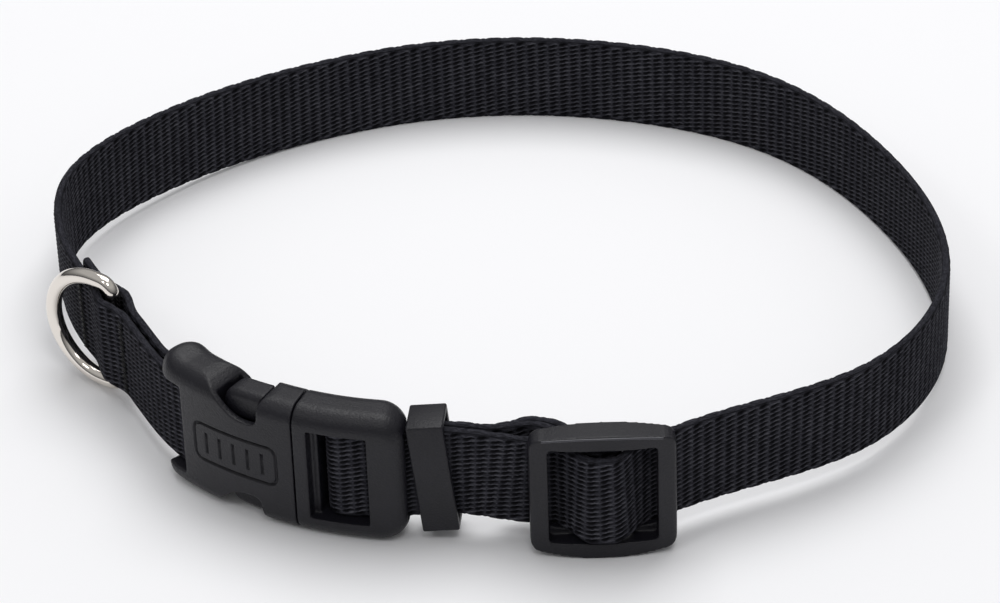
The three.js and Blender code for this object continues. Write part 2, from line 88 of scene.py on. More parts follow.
def pick(piece, test, kind="verts"):
    """Selects the points, edges or faces whose middle passes the test."""
    bpy.ops.mesh.select_all(action="DESELECT")
    cage = bmesh.from_edit_mesh(piece.data)
    for item in getattr(cage, kind):
        if kind == "verts":
            place = item.co
        elif kind == "edges":
            place = (item.verts[0].co + item.verts[1].co) / 2
        else:
            place = item.calc_center_median()
        if test(place):
            item.select_set(True)
    cage.select_flush_mode()
    bmesh.update_edit_mesh(piece.data)


def take(piece):
    """Makes this the one selected and active object."""
    deselect()
    piece.select_set(True)
    bpy.context.view_layer.objects.active = piece


def smooth(piece):
    take(piece)
    bpy.ops.object.shade_smooth()


def finish_modifier(piece, kind, **settings):
    take(piece)
    bpy.ops.object.modifier_add(type=kind)
    modifier = piece.modifiers[-1]
    for name, value in settings.items():
        setattr(modifier, name, value)
    bpy.ops.object.modifier_apply(modifier=modifier.name)


def strap_route(node):
    """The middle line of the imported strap, from the mean of each ring of points round it."""
    cage = bmesh.new()
    cage.from_mesh(node.data)
    bmesh.ops.remove_doubles(cage, verts=cage.verts, dist=0.01 * mm)
    cage.normal_update()
    end_area = strap_width * strap_thickness
    ends = []
    seen = set()
    for face in cage.faces:
        if face in seen:
            continue
        flat, queue = {face}, [face]
        while queue:
            for edge in queue.pop().edges:
                for other in edge.link_faces:
                    if other not in flat and other.normal.dot(face.normal) > 0.999999:
                        flat.add(other)
                        queue.append(other)
        seen |= flat
        corners = {vert for part in flat for vert in part.verts}
        share = sum(part.calc_area() for part in flat) / end_area
        if len(corners) == 8 and 0.88 < share < 1.05 and abs(face.normal.z) < 0.1:
            ends.append(corners)
    low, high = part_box("slide_adjuster")
    slide_middle = (Vector(low) + Vector(high)) / 2

    def middle(ring):
        return sum((vert.co for vert in ring), Vector()) / len(ring)

    ring = min(ends, key=lambda corners: (middle(corners) - slide_middle).length)
    walked, route = set(ring), [middle(ring)]
    while True:
        ring = {edge.other_vert(vert) for vert in ring for edge in vert.link_edges} - walked
        if not ring:
            break
        walked |= ring
        route.append(middle(ring))
    cage.free()
    return route


def route_curve(name, points, closed=False):
    deselect()
    bpy.ops.curve.primitive_bezier_curve_add(location=(0, 0, 0))
    guide = bpy.context.object
    guide.name = name
    guide.data.twist_mode = "Z_UP"
    guide.data.resolution_u = 10
    spline = guide.data.splines[0]
    spline.bezier_points.add(len(points) - len(spline.bezier_points))
    for knot, place in zip(spline.bezier_points, points):
        knot.co = place
        knot.handle_left_type = knot.handle_right_type = "AUTO"
    spline.use_cyclic_u = closed
    return guide


def ramp(place, start, end):
    """Rises smoothly from 0 to 1 between two places in millimetres."""
    share = min(max((place / mm - start) / (end - start), 0), 1)
    return share * share * (3 - 2 * share)


# Loose webbing strays from its drawn line: between keeper and slide both layers ride up, the inner one
# stands off, and over the slide's bar the cloth bellies out and sags to the lower rail.
strap_points = strap_route(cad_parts["webbing_strap"])
walked = [0.0]
for before, after in zip(strap_points, strap_points[1:]):
    walked.append(walked[-1] + (after - before).length)
inner_end = 66 * mm
outer_start, outer_end = 98 * mm, 126 * mm
belly_middle, belly_end = 136.5 * mm, 148 * mm
layer_lift = 0.9 * mm
layer_gap = 0.1 * mm
stand_off = 1.7 * mm
belly_out = 0.8 * mm
belly_sag = 0.3 * mm
for along, place in zip(walked, strap_points):
    past_keeper = ramp(place.x, -17, -10)
    if along < inner_end:
        loose = past_keeper * ramp(place.x, 15, 3)
        place.z += layer_lift * loose * ramp(along, -1.4, 12.6)
        place.y += layer_gap * loose + stand_off * ramp(place.x, -2, 5) * ramp(place.x, 14, 5)
    elif outer_start < along < outer_end:
        place.z += layer_lift * past_keeper * ramp(place.x, 6, -6)
    elif along < belly_end:
        away = abs(along - belly_middle)
        place.y -= belly_out * ramp(away, 9, 1.5)
        place.z -= belly_sag * ramp(away, 7, 2)
strap_guide = route_curve("strap_guide", strap_points)
strap_length = strap_guide.data.splines[0].calc_length()
repeats = round(strap_length / (2 * weft_pitch))
repeat = strap_length / repeats
sample = repeat / columns
row = cloth_width / (2 * yarn_rows)

deselect()
bpy.ops.mesh.primitive_grid_add(x_subdivisions=columns, y_subdivisions=2 * yarn_rows, size=1,
                                rotation=(math.pi / 2, 0, 0))
bpy.context.object.scale = (repeat, cloth_width, 1)
bpy.context.object.location = (repeat / 2, -face_depth, 0)
strap = settle("webbing")
edit(strap)

# Each column of floats in a repeat: the step along it, and how far its floats and slits stand out
weave = (
    (0, 0.35, 0.35), (1, 0.6, -1.3), (2, 1.0, -1.9), (3, 0.9, -0.6),
    (4, 0.35, 0.35), (5, 0.6, -1.3), (6, 1.0, -1.9), (7, 0.9, -0.6), (8, 0.35, 0.35),
)
for step, float_share, slit_share in weave:
    shifted = step > columns / 2
    for odd, share in ((1, float_share), (0, slit_share)):
        pick(strap, lambda place: round(place.x / sample) == step and abs(place.z) < float_edge
             and (round((place.z + cloth_width / 2) / row) + shifted) % 2 == odd)
        bpy.ops.transform.translate(value=(0, -share * float_rise, 0))
for steps, lean in (((1, 5), -1), ((3, 7), 1)):
    pick(strap, lambda place: round(place.x / sample) in steps and abs(place.z) < float_edge)
    bpy.ops.transform.translate(value=(0, 0, lean * float_lean))

# The selvedge is rolled round to the strap's middle in three strips, each a step inwards and outwards,
# and every weft turn lifts it a little
roll = ((0.28 * mm, 0.26 * mm), (0.28 * mm, 0.1 * mm), (0.2 * mm, 0.02 * mm))
for side in (-1, 1):
    pick(strap, lambda place: place.z * side > float_edge, "edges")
    for inward, outward in roll:
        step = Vector((0, inward, side * outward))
        bpy.ops.mesh.extrude_edges_move(TRANSFORM_OT_translate={"value": step})
bpy.ops.object.mode_set(mode="OBJECT")
for point in strap.data.vertices:
    if abs(point.co.z) > roll_edge:
        turn = 2 * math.pi * point.co.x / repeat
        lift = (0.16 * math.cos(turn) + 0.07 * math.cos(2 * turn) - 0.1) * mm
        point.co.z += math.copysign(lift, point.co.z)

# The inner face is the outer one turned round, so its floats lean the same way
edit(strap)
bpy.ops.mesh.select_all(action="SELECT")
bpy.ops.mesh.duplicate_move()
bpy.ops.transform.rotate(value=math.pi, orient_axis="Z", center_override=(repeat / 2, 0, 0))
bpy.ops.mesh.select_all(action="SELECT")
bpy.ops.mesh.remove_doubles(threshold=weld)
finish_modifier(strap, "ARRAY", count=repeats, use_relative_offset=False, use_constant_offset=True,
                constant_offset_displace=(repeat, 0, 0), use_merge_vertices=True,
                merge_threshold=weld)
edit(strap)
bpy.ops.mesh.select_all(action="SELECT")
bpy.ops.mesh.fill_holes(sides=0)
bpy.ops.mesh.select_all(action="SELECT")
bpy.ops.mesh.normals_make_consistent(inside=False)
bpy.ops.object.mode_set(mode="OBJECT")

# Where each point lay on the flat cloth, for the weave in the material
cloth = strap.data.attributes.new("cloth", "FLOAT_VECTOR", "POINT")
cloth.data.foreach_set("vector", [number for point in strap.data.vertices for number in point.co])
finish_modifier(strap, "CURVE", object=strap_guide, deform_axis="POS_X")
smooth(strap)


def linear(code):
    """An sRGB hex colour as linear light."""
    parts = [int(code[i:i + 2], 16) / 255 for i in (1, 3, 5)]
    return [part / 12.92 if part <= 0.04045 else ((part + 0.055) / 1.055) ** 2.4 for part in parts] + [1]


def add_node(finish, kind, links=None, **settings):
    """Adds a node, sets its properties and sockets, and links its inputs."""
    node = finish.node_tree.nodes.new("ShaderNode" + kind)
    for name, value in settings.items():
        if name.startswith("in_"):
            key = name[3:]
            node.inputs[int(key) if key.isdigit() else key.replace("_", " ")].default_value = value
        else:
            setattr(node, name, value)
    for key, source in (links or {}).items():
        finish.node_tree.links.new(source, node.inputs[key])
    return node


def new_finish(name):
    finish = bpy.data.materials.new(name)
    finish.use_nodes = True
    return finish, finish.node_tree.nodes["Principled BSDF"]


# Solution-dyed black nylon, with painted light and shade: the raised floats and their filaments are painted
# paler, a painted highlight, and the slits between them are painted near black, painted shade. Real filaments
# are about 0.03 mm thick, too fine to show, and are drawn about 0.15 to 1 mm apart.
slit_depth = 0.55 * mm
crest_depth = 0.92 * mm
nylon, cloth_shader = new_finish("woven_nylon_black")
place = add_node(nylon, "Attribute", attribute_name="cloth")
axes = add_node(nylon, "SeparateXYZ", {0: place.outputs["Vector"]})
# The weave's depth on the flat cloth is the mask for painted shade in the slits and a painted highlight on
# the crests; the rolled selvedge is held at a middle tone
depth = add_node(nylon, "Math", {0: axes.outputs["Y"]}, operation="ABSOLUTE")
height = add_node(nylon, "MapRange", {0: depth.outputs[0]}, in_1=slit_depth, in_2=crest_depth)
side = add_node(nylon, "Math", {0: axes.outputs["Z"]}, operation="ABSOLUTE")
rolled = add_node(nylon, "MapRange", {0: side.outputs[0]}, in_1=float_edge, in_2=roll_edge, in_4=0.62)
raised = add_node(nylon, "Math", {0: height.outputs[0], 1: rolled.outputs[0]}, operation="MAXIMUM")
filaments = add_node(nylon, "VectorMath", {0: place.outputs["Vector"]}, operation="MULTIPLY",
                     in_1=(0.9 / mm, 3 / mm, 7 / mm))
strands = add_node(nylon, "TexNoise", {"Vector": filaments.outputs[0]}, in_Scale=1.0, in_Detail=2.0)
fade = add_node(nylon, "TexNoise", {"Vector": place.outputs["Vector"]}, in_Scale=0.09 / mm, in_Detail=2.0)
# A painted glint along the filaments, and a ramp from near-black painted shade in the slits to a pale painted
# highlight on the crests
painted_glint = add_node(nylon, "MapRange", {0: strands.outputs["Fac"]}, in_1=0.3, in_2=0.7, in_3=0.7, in_4=1.25)
shade = add_node(nylon, "Math", {0: raised.outputs[0], 1: painted_glint.outputs[0]}, operation="MULTIPLY")
painted_weave_shading = add_node(nylon, "ValToRGB", {0: shade.outputs[0]})
painted_weave_shading.color_ramp.elements[0].color = linear("#101012")
painted_weave_shading.color_ramp.elements[1].color = linear("#5e5e64")
for spot, code in ((0.4, "#1d1d20"), (0.7, "#3a3a40")):
    painted_weave_shading.color_ramp.elements.new(spot).color = linear(code)
worn = add_node(nylon, "MixRGB", {0: fade.outputs["Fac"], 1: painted_weave_shading.outputs[0]}, blend_type="MULTIPLY",
                in_Color2=linear("#c8c8cc"))
nylon.node_tree.links.new(worn.outputs[0], cloth_shader.inputs["Base Color"])
grain = add_node(nylon, "Bump", {"Height": strands.outputs["Fac"]}, in_Strength=0.5,
                 in_Distance=0.08 * mm)
nylon.node_tree.links.new(grain.outputs[0], cloth_shader.inputs["Normal"])
cloth_shader.inputs["Roughness"].default_value = 0.6
cloth_shader.inputs["Specular IOR Level"].default_value = 0.01
strap.data.materials.append(nylon)
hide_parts("webbing_strap")
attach(strap, "collar")


# Stitches
# Black bonded nylon thread. Dense zigzag bar tacks close the ring's pocket on both sides and hold down
# the strap's heat-cut ends, sewn through both layers.

ring_bar = Vector((-74.6698, -21.2085, 14)) * mm
gaps = [(place - ring_bar).xy.length for place in strap_points]
pocket = [walked[i] for i in range(1, len(gaps) - 1)
          if gaps[i] < 4 * mm and gaps[i - 1] > gaps[i] <= gaps[i + 1]]
tack_reach = 9.5 * mm
tacks = [(place + reach, -1) for place in (pocket[0], pocket[-1]) for reach in (-tack_reach, tack_reach)]
tacks += [(3 * mm, 1), (11 * mm, 1), (strap_length - 2.5 * mm, -1)]
stitches = 13
stitch_pitch = 1.28 * mm
stitch_half = (1.35 * mm, 0.17 * mm, 0.19 * mm)
stitch_slant = math.radians(13)
stitch_depth = 0.93 * mm
first_stitch = -8.2 * mm
zigzag = 0.32 * mm
rows = []
for along, side in tacks:
    for tilt in (-1, 1):
        deselect()
        bpy.ops.mesh.primitive_uv_sphere_add(
            segments=6, ring_count=4, radius=1, rotation=(0, tilt * stitch_slant, 0),
            location=(along, side * stitch_depth, first_stitch + zigzag * tilt))
        bpy.context.object.scale = stitch_half
        stitch = settle("bar_tack")
        finish_modifier(stitch, "ARRAY", count=stitches, use_relative_offset=False,
                        use_constant_offset=True, constant_offset_displace=(0, 0, stitch_pitch))
        rows.append(stitch)
deselect()
for stitch in rows:
    stitch.select_set(True)
bpy.context.view_layer.objects.active = rows[0]
bpy.ops.object.join()
tack = rows[0]
tack.name = "bar_tacks"
finish_modifier(tack, "CURVE", object=strap_guide, deform_axis="POS_X")
smooth(tack)

# Bonded thread is smoother than the cloth and takes a faint gloss. Its plies are drawn 0.2 mm wide,
# about twice as coarse as real ones.
thread, thread_shader = new_finish("bonded_nylon_thread_black")
thread_shader.inputs["Base Color"].default_value = linear("#0e0e10")
twist_place = add_node(thread, "TexCoord")
twist = add_node(thread, "TexNoise", {"Vector": twist_place.outputs["Object"]}, in_Scale=5 / mm)
twist_bump = add_node(thread, "Bump", {"Height": twist.outputs["Fac"]}, in_Strength=0.4,
                      in_Distance=0.04 * mm)
thread.node_tree.links.new(twist_bump.outputs[0], thread_shader.inputs["Normal"])
thread_shader.inputs["Roughness"].default_value = 0.5
thread_shader.inputs["Specular IOR Level"].default_value = 0.25
tack.data.materials.append(thread)
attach(tack, "collar")


# Buckle socket
# The female half of a curved side-release buckle, injection moulded in black acetal. Two rounded ears
# stand beside the strap, thumb scoops bare the sprung arms, and a plain grooved panel marks the front.

buckle_radius = 65 * mm
buckle_centre = Vector((-11.744, -6.530, 14)) * mm
seam_heading = math.radians(-24)
socket_length = 24.8 * mm
seam_gap = 0.3 * mm
lead_in = 12 * mm
half_high = 14 * mm
front_face = -2.7 * mm
back_face = 7.3 * mm
channel = 9.85 * mm
scoop_floor = 8.2 * mm
mouth_start = 17.8 * mm


def on_buckle(along):
    turn = seam_heading + (along - socket_length) / buckle_radius - math.pi / 2
    return buckle_centre + buckle_radius * Vector((math.cos(turn), math.sin(turn), 0))


buckle_guide = route_curve("buckle_guide", [on_buckle(-lead_in + i * mm) for i in range(66)])


def slab(name, x, y, z):
    """A block between two places along, through and up."""
    deselect()
    bpy.ops.mesh.primitive_cube_add(size=1, location=(sum(x) / 2, sum(y) / 2, sum(z) / 2))
    bpy.context.object.scale = (x[1] - x[0], y[1] - y[0], z[1] - z[0])
    return settle(name)


def cutout(name, outline, y):
    """A plate with an outline in along and up, extruded through a depth."""
    deselect()
    bpy.ops.mesh.primitive_circle_add(vertices=len(outline), radius=mm, fill_type="NGON")
    plate = settle(name)
    for point, (x, z) in zip(plate.data.vertices, outline):
        point.co = (x, y[0], z)
    edit(plate, "FACE")
    bpy.ops.mesh.select_all(action="SELECT")
    bpy.ops.mesh.extrude_region_move(TRANSFORM_OT_translate={"value": (0, y[1] - y[0], 0)})
    bpy.ops.mesh.select_all(action="SELECT")
    bpy.ops.mesh.normals_make_consistent(inside=False)
    bpy.ops.object.mode_set(mode="OBJECT")
    return plate


def work(piece, tool, operation):
    """Cuts, joins or trims a piece by another, which is used up."""
    finish_modifier(piece, "BOOLEAN", object=tool, operation=operation, solver="EXACT")
    bpy.data.objects.remove(tool)


def bow(a, b, c, d=None, steps=10):
    """Points on a curve through a and its last handle point."""
    points = []
    for i in range(steps + 1):
        t = i / steps
        if d is None:
            weights = ((1 - t) ** 2, 2 * t * (1 - t), t * t)
            knots = (a, b, c)
        else:
            weights = ((1 - t) ** 3, 3 * t * (1 - t) ** 2, 3 * t * t * (1 - t), t**3)
            knots = (a, b, c, d)
        points.append(tuple(sum(w * knot[k] for w, knot in zip(weights, knots)) for k in (0, 1)))
    return points


def mould(piece, voxel, rounds):
    """Softens every edge as a mould does: an even skin, then smoothing over a fraction of a millimetre."""
    finish_modifier(piece, "REMESH", mode="VOXEL", voxel_size=voxel, adaptivity=0)
    finish_modifier(piece, "SMOOTH", factor=0.5, iterations=rounds)


def shift(piece, step):
    edit(piece)
    bpy.ops.mesh.select_all(action="SELECT")
    bpy.ops.transform.translate(value=step)
    bpy.ops.object.mode_set(mode="OBJECT")


def bend_on_buckle(piece):
    """Curves a piece that was modelled straight to the buckle's radius."""
    shift(piece, (lead_in, 0, 0))
    finish_modifier(piece, "CURVE", object=buckle_guide, deform_axis="POS_X")
    smooth(piece)


def rounded_bar(name, x, y, half):
    """The bar that the strap wraps: a flat rod with round sides."""
    bar = slab(name, (x - 1.8 * mm, x + 1.8 * mm), (y - 1.1 * mm, y + 1.1 * mm), (-half, half))
    edit(bar, "EDGE")
    pick(bar, lambda place: abs(place.z) < mm, "edges")
    bpy.ops.mesh.bevel(offset=1.05 * mm, segments=5)
    bpy.ops.object.mode_set(mode="OBJECT")
    return bar


# The outline of its upper half, from the bar's bay over the ear, down the scoop and up the mouth's edge
near = 0.01 * mm
ear = -7.2 * mm
ear_round = 11.9 * mm
mouth_lip = scoop_floor + 1.5 * mm
upper = [(0, channel)]
upper += bow((ear + 2 * mm, channel), (ear - 0.6 * mm, ear_round), (ear + 1.7 * mm, half_high))
upper += [(0.2 * mouth_start, half_high)]
upper += bow((0.2 * mouth_start, half_high), (0.5 * mouth_start, half_high),
             (0.55 * mouth_start, scoop_floor), (0.86 * mouth_start, scoop_floor))[1:]
upper += bow((0.86 * mouth_start, scoop_floor), (mouth_start, scoop_floor), (mouth_start, mouth_lip),
             steps=5)[1:]
upper += bow((mouth_start, mouth_lip), (mouth_start, half_high - 0.3 * mm),
             (mouth_start + 0.4 * mm, half_high), (mouth_start + 3 * mm, half_high), steps=9)[1:]
upper += [(socket_length + mm, half_high)]
outline = upper + [(x, -z) for x, z in reversed(upper)]

# A block with a free end rounded in plan and round long edges, cut to that outline and hollowed
free_end = ear - 0.5 * mm
end_round = 4.7 * mm
edge_round = 3.6 * mm
socket = slab("buckle_socket_body", (free_end, socket_length), (front_face, back_face),
              (-half_high, half_high))
edit(socket, "EDGE")
pick(socket, lambda place: abs(place.x - free_end) < near and abs(place.z) < mm, "edges")
bpy.ops.mesh.bevel(offset=end_round, segments=8)
edit(socket, "EDGE")
pick(socket, lambda place: abs(abs(place.z) - half_high) < near and place.x < socket_length - near, "edges")
bpy.ops.mesh.bevel(offset=edge_round, segments=9)
bpy.ops.object.mode_set(mode="OBJECT")
through = (-15 * mm, 20 * mm)
bay_end = 6.75 * mm
inner_front = -1.25 * mm
cavity_start = bay_end + 1.5 * mm
cavity_half = 11.8 * mm
cavity_back = 5.8 * mm
bar_middle = 2.3 * mm
work(socket, cutout("outline", outline, through), "INTERSECT")
work(socket, slab("bay", (-15 * mm, bay_end), (inner_front, 20 * mm), (-channel, channel)), "DIFFERENCE")
work(socket, slab("cavity", (cavity_start, socket_length + mm), (inner_front, cavity_back),
                  (-cavity_half, cavity_half)), "DIFFERENCE")
for side in (-1, 1):
    reach = sorted((side * scoop_floor, side * 20 * mm))
    work(socket, slab("window", (cavity_start, mouth_start), (inner_front, cavity_back), reach), "DIFFERENCE")
work(socket, rounded_bar("bar", 2.2 * mm, bar_middle, channel + mm), "UNION")
mould(socket, 0.24 * mm, 5)

# The upper ear swells into a lobe past the plate's edge
lobe = 0.8 * mm
for point in socket.data.vertices:
    if point.co.z > channel:
        point.co.z += lobe * ramp(point.co.x, 0, -5) * min((point.co.z - channel) / (3 * mm), 1)

# The badge's place: a framed panel with plain grip lines, cut about half a millimetre deep
panel_middle = 12.4 * mm
panel_half = 9.4 * mm
panel_high = 4.5 * mm
panel_corner = 2 * mm
frame_line = 0.7 * mm


def panel_outline(grow):
    half, high = panel_half + grow, panel_high + grow
    corner = panel_corner + grow
    points = []
    for sx, sz, start in ((1, 1, 0), (-1, 1, 90), (-1, -1, 180), (1, -1, 270)):
        for i in range(7):
            turn = math.radians(start + 15 * i)
            points.append((panel_middle + sx * (half - corner) + corner * math.cos(turn),
                           sz * (high - corner) + corner * math.sin(turn)))
    return points


groove = (front_face - mm, front_face + 0.45 * mm)
rim = cutout("rim", panel_outline(0), groove)
work(rim, cutout("rim_inside", panel_outline(-frame_line), (groove[0] - mm, groove[1] + mm)), "DIFFERENCE")
work(socket, rim, "DIFFERENCE")
grip_pitch = 3.1 * mm
grip_half = 2.3 * mm
for i in range(5):
    middle = panel_middle + (i - 2) * grip_pitch
    work(socket, slab("grip", (middle - frame_line / 2, middle + frame_line / 2), groove,
                      (-grip_half, grip_half)), "DIFFERENCE")
bend_on_buckle(socket)

# Moulded acetal: a fine spark-eroded texture gives a satin grey bloom, with a speckle where an edge
# turns to the light. The real texture is about 0.1 mm fine, and is drawn at 0.4 mm so that it shows.
acetal, acetal_shader = new_finish("moulded_acetal_black")
where = add_node(acetal, "TexCoord")
speck = add_node(acetal, "TexNoise", {"Vector": where.outputs["Object"]}, in_Scale=2.6 / mm, in_Detail=3.0,
                 in_Roughness=0.6)
cloud = add_node(acetal, "TexNoise", {"Vector": where.outputs["Object"]}, in_Scale=0.14 / mm,
                 in_Detail=2.0)
tone = add_node(acetal, "ValToRGB", {0: cloud.outputs["Fac"]})
tone.color_ramp.elements[0].color = linear("#121217")
tone.color_ramp.elements[1].color = linear("#1b1a21")
acetal.node_tree.links.new(tone.outputs[0], acetal_shader.inputs["Base Color"])
gloss = add_node(acetal, "MapRange", {0: speck.outputs["Fac"]}, in_1=0.3, in_2=0.7, in_3=0.3, in_4=0.52)
acetal.node_tree.links.new(gloss.outputs[0], acetal_shader.inputs["Roughness"])
pits = add_node(acetal, "Bump", {"Height": speck.outputs["Fac"]}, in_Strength=1.0, in_Distance=0.1 * mm)
acetal.node_tree.links.new(pits.outputs[0], acetal_shader.inputs["Normal"])
acetal_shader.inputs["Specular IOR Level"].default_value = 0.35
acetal_shader.inputs["IOR"].default_value = 1.48
socket.data.materials.append(acetal)
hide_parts("buckle_socket")
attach(socket, "collar")


# Buckle plug
# The male half, of the same acetal. A frame round the strap's window ends in a broad rounded panel, and
# its two sprung arms reach into the socket, where their heads show in the scoops.

plug_start = socket_length + seam_gap
plug_length = 20.9 * mm
plug_corner = 5.5 * mm
window_start = 2.6 * mm
window_end = 13.8 * mm
plug = slab("buckle_plug_body", (0, plug_length), (front_face, back_face), (-half_high, half_high))
edit(plug, "EDGE")
pick(plug, lambda place: abs(place.x - plug_length) < near and abs(place.z) > 13 * mm, "edges")
bpy.ops.mesh.bevel(offset=plug_corner, segments=9)
pick(plug, lambda place: min(abs(place.y - front_face), abs(place.y - back_face)) < near
     and place.x > near, "edges")
bpy.ops.mesh.bevel(offset=edge_round, segments=9)
bpy.ops.object.mode_set(mode="OBJECT")
work(plug, slab("window", (window_start, window_end), through, (-channel, channel)), "DIFFERENCE")
bay = slab("bay", (window_end - mm, plug_length + mm), (inner_front, 20 * mm), (-channel, channel))
for point in bay.data.vertices:
    if point.co.y < 0 and point.co.x > plug_length:
        point.co.y += 1.1 * mm
work(plug, bay, "DIFFERENCE")

# A ridge and a lip behind the window stiffen the frame, and the strap's bar crosses it
across = (-channel - mm, channel + mm)
plug_bar = 8.6 * mm
work(plug, slab("ridge", (2 * mm, 3.9 * mm), (-0.4 * mm, back_face - 0.6 * mm), across), "UNION")
work(plug, slab("lip", (2 * mm, plug_bar), (5.95 * mm, back_face - 0.3 * mm), across), "UNION")
work(plug, rounded_bar("bar", plug_bar, bar_middle, channel + mm), "UNION")

# Each arm runs flat from the frame to its shoulder at the mouth, then thickens into a rounded head
arm_outer = 11.45 * mm
arm_inner = 8.45 * mm
shoulder = -7.1 * mm
tip = bay_end + 2 * mm - plug_start
arm_front, arm_back = -0.6 * mm, 5.2 * mm
for side in (-1, 1):
    arm = [(1.3 * mm, arm_inner), (1.3 * mm, arm_outer), (shoulder + 0.3 * mm, arm_outer)]
    arm += [(shoulder, arm_outer + 1.9 * mm)]
    arm += bow((tip + 3.6 * mm, arm_outer + 1.7 * mm), (tip + 0.2 * mm, arm_outer + 1.4 * mm),
               (tip, arm_outer - 2 * mm))
    arm += [(tip + 1.5 * mm, arm_inner - 0.8 * mm), (shoulder, arm_inner - 0.8 * mm),
            (shoulder + 3 * mm, arm_inner)]
    limb = cutout("arm", [(x, side * z) for x, z in arm], (arm_front, arm_back))
    for level, round_off in ((arm_front, 2.3 * mm), (arm_back, 1.3 * mm)):
        edit(limb, "EDGE")
        pick(limb, lambda place: place.x < shoulder + mm and side * place.z > arm_outer - 2.2 * mm
             and abs(place.y - level) < 0.1 * mm, "edges")
        bpy.ops.mesh.bevel(offset=round_off, segments=7, clamp_overlap=True)
        bpy.ops.object.mode_set(mode="OBJECT")
    work(plug, limb, "UNION")
mould(plug, 0.22 * mm, 5)
shift(plug, (plug_start, 0, 0))
bend_on_buckle(plug)
plug.data.materials.append(acetal)
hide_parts("buckle_plug")
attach(plug, "collar")


# Keeper
# A plain moulded loop that holds the strap's free layers together beside the buckle. It sits a little
# cocked, with crisp edges and thin walls, and slides along the strap.

keeper_middle = Vector((-12.8589, -68.9073, 14.3779)) * mm
keeper_heading = -0.116078
keeper_cock = math.radians(6)
keeper_length = 7 * mm
keeper_wall = 1.2 * mm
half_deep = 7.9 * mm / 2
half_tall = 23.73 * mm / 2
keeper = slab("keeper_loop", (-keeper_length / 2, keeper_length / 2), (-half_deep, half_deep),
              (-half_tall, half_tall))
inner_deep, inner_tall = half_deep - keeper_wall, half_tall - keeper_wall
work(keeper, slab("inside", (-keeper_length, keeper_length), (-inner_deep, inner_deep),
                  (-inner_tall, inner_tall)), "DIFFERENCE")
finish_modifier(keeper, "BEVEL", width=0.4 * mm, segments=3, limit_method="ANGLE")
keeper.matrix_world = (Matrix.Translation(keeper_middle) @ Matrix.Rotation(keeper_heading, 4, "Z")
                       @ Matrix.Rotation(-keeper_cock, 4, "Y"))
take(keeper)
bpy.ops.object.transform_apply(location=True, rotation=True, scale=True)
bpy.ops.object.shade_smooth_by_angle(angle=math.radians(50))
keeper.data.materials.append(acetal)
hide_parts("keeper")
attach(keeper, "loop")


# Slide
# The three-bar slide that sets the collar's length, moulded in one piece. Its face swells towards the
# middle, its rails bow out a little, and the strap wraps a bar across its window.

slide_middle = Vector((17.977, -73.242, 13.8)) * mm
slide_half = 13.6 * mm
slide_rise = 13.8 * mm
slide_back = -1.2 * mm
slide_front = -4.9 * mm
slide_crown = 2.8 * mm
slide_corner = 3 * mm
slide_rail = 3.3 * mm
slide_side = 3.5 * mm


def slide_outline(half, rise, corner, arch):
    side = rise - arch
    top = bow((half, side - corner), (half, side), (half - corner, side), steps=6)
    top += bow((half - corner, side), (0, rise + arch), (-half + corner, side), steps=14)[1:]
    top += bow((-half + corner, side), (-half, side), (-half, side - corner), steps=6)[1:]
    return top + [(-x, -z) for x, z in top]


# Its plan, with small round corners and a crowned face, is extruded upwards and cut to the outline
edge = 0.8 * mm
face_start = (-slide_half + edge, slide_front - 0.1 * mm)
left = bow((-slide_half + edge, slide_back), (-slide_half, slide_back), (-slide_half, slide_back - edge),
           steps=4)
left += bow((-slide_half, slide_front + edge), (-slide_half, slide_front), face_start, steps=4)
crown = bow(face_start, (0, slide_front - slide_crown), (-face_start[0], face_start[1]), steps=16)
plan = left + crown[1:-1] + [(-x, y) for x, y in reversed(left)]
slide = cutout("slide_frame", plan, (-20 * mm, 20 * mm))
for point in slide.data.vertices:
    point.co = (point.co.x, point.co.z, -point.co.y)
work(slide, cutout("outline", slide_outline(slide_half, slide_rise, slide_corner, mm), through), "INTERSECT")
work(slide, cutout("window", slide_outline(slide_half - slide_side, slide_rise - slide_rail, mm, 0), through),
     "DIFFERENCE")

# Bosses carry the bar at the rails, and a sill behind the lower rail rises to the window's corners
bar_place = -1.5 * mm
boss_half = 3.2 * mm
for side in (-1, 1):
    reach = sorted((side * 10.4 * mm, side * 12 * mm))
    work(slide, slab("boss", (-boss_half, boss_half), (slide_front, bar_place + 1.1 * mm), reach), "UNION")
sill_right = [(10.6 * mm, -11 * mm)]
sill_right += bow((4 * mm, -9.6 * mm), (9 * mm, -9.4 * mm), (10.6 * mm, -8.1 * mm))[::-1]
sill = sill_right + [(-x, z) for x, z in reversed(sill_right)]
work(slide, cutout("sill", sill, (-2.6 * mm, slide_back)), "UNION")
work(slide, rounded_bar("bar", 0, bar_place, 11.5 * mm), "UNION")
mould(slide, 0.2 * mm, 5)
shift(slide, slide_middle)
smooth(slide)
slide.data.materials.append(acetal)
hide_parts("slide_adjuster")
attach(slide, "collar")

# The mould's parting line: a thin glossy bead under the face's top edge, bowed as the face is, painted paler
# as a highlight along that edge
bead_points = []
for i in range(13):
    x = (i - 6) * 1.85
    face = -5.08 - 1.35 * (1 - (x / 12.8) ** 2)
    top = 12.45 + (1 - (x / 11.6) ** 2)
    bead_points.append(slide_middle + Vector((x, face, top)) * mm)
bead_guide = route_curve("parting_bead", bead_points)
bead_guide.data.bevel_depth = 0.24 * mm
bead_guide.data.bevel_resolution = 3
bead_guide.data.resolution_u = 3
bead_guide.data.use_fill_caps = True
bpy.ops.object.convert(target="MESH")
bead = settle("parting_bead")
smooth(bead)

